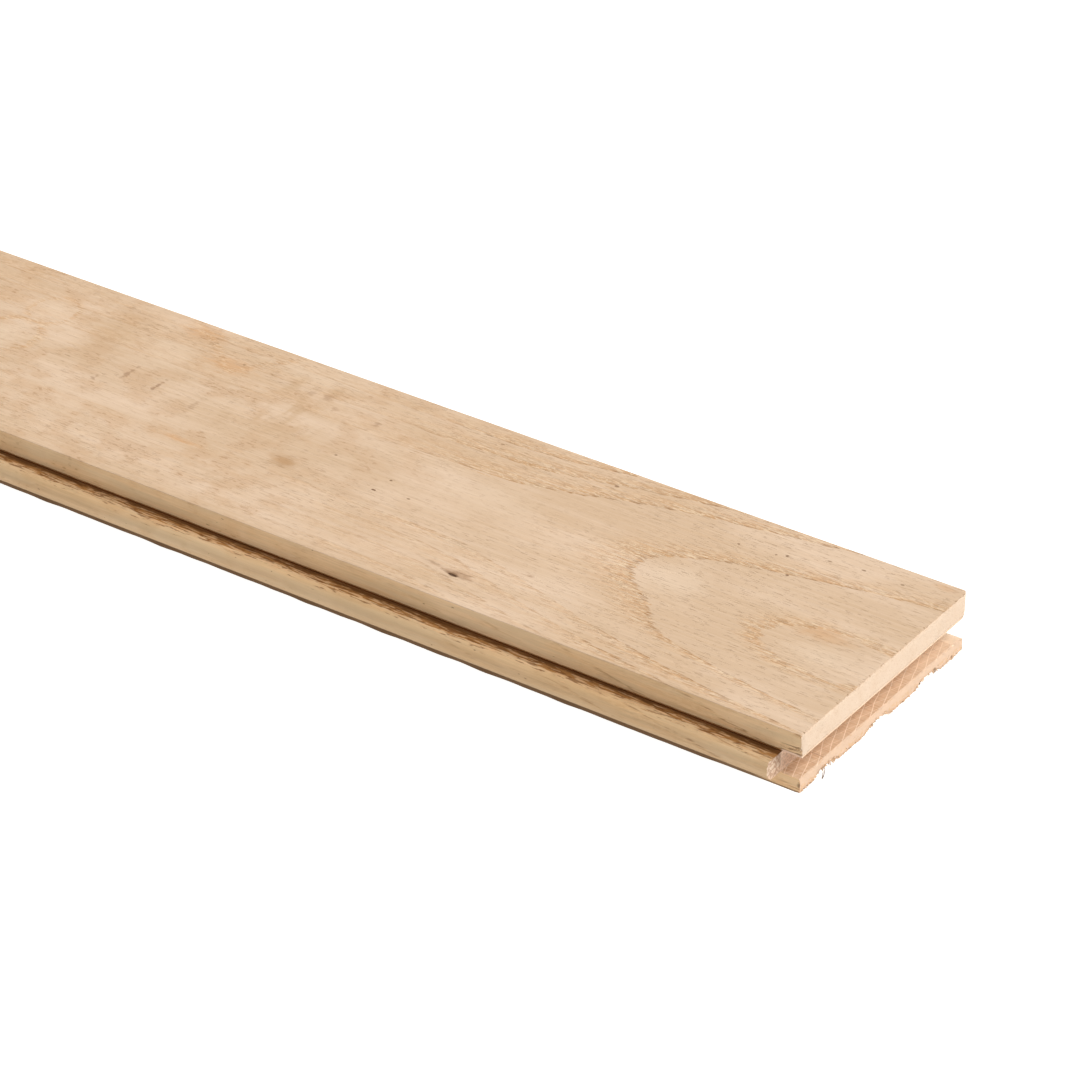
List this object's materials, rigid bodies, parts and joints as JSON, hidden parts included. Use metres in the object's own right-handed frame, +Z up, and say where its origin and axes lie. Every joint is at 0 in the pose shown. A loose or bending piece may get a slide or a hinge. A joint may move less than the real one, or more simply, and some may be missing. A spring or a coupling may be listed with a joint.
{
  "type": "tongue-and-groove floorboard",
  "caption": "Solid oak floorboard, bare and pale, with a tongue on one side and end, a groove on the others and a relieved back, laid edge to edge as flooring.",
  "frame": {"origin": "centre of the outer box in plan, on the underside plane that rests on the floor", "axes": "+X along the board towards its grooved end, +Y across it towards its grooved side, +Z up through the walking face"},
  "size_m": [0.9204, 0.0956, 0.0191],
  "materials": {
    "oak": "bare planed and sanded oak, unfinished"
  },
  "bodies": {
    "root": {"floorboard": "oak"}
  },
  "joints": []
}
